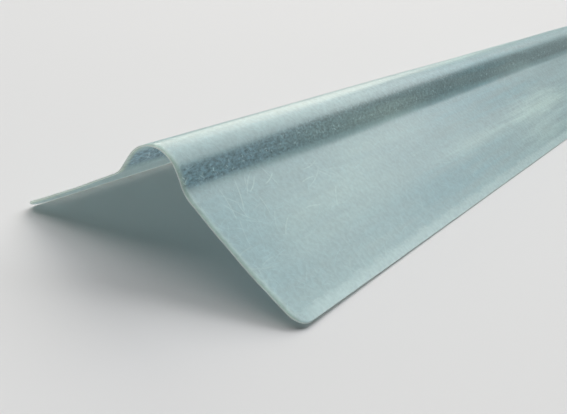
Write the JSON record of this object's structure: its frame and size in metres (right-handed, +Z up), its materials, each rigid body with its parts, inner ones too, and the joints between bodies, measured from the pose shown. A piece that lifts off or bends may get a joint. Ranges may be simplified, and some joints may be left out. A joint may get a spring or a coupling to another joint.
{
  "type": "roof ridge cap",
  "caption": "Moulded glass-fibre ridge cap: rolled crown with reverse-curved flanks and two flat sloping wings that cover the ridge of a roof.",
  "frame": {"origin": "midway along the ridge and midway between the wings, on the ground plane that the two wing edges stand on", "axes": "+Y along the ridge, +X across it towards the right wing, +Z up through the crown"},
  "size_m": [0.3258, 2, 0.1119],
  "materials": {
    "glass_fibre_laminate": "translucent natural glass-fibre laminate, cloudy grey-green, chopped strands showing, satin sheen"
  },
  "bodies": {
    "root": {"ridge_cap": "glass_fibre_laminate"}
  },
  "joints": []
}
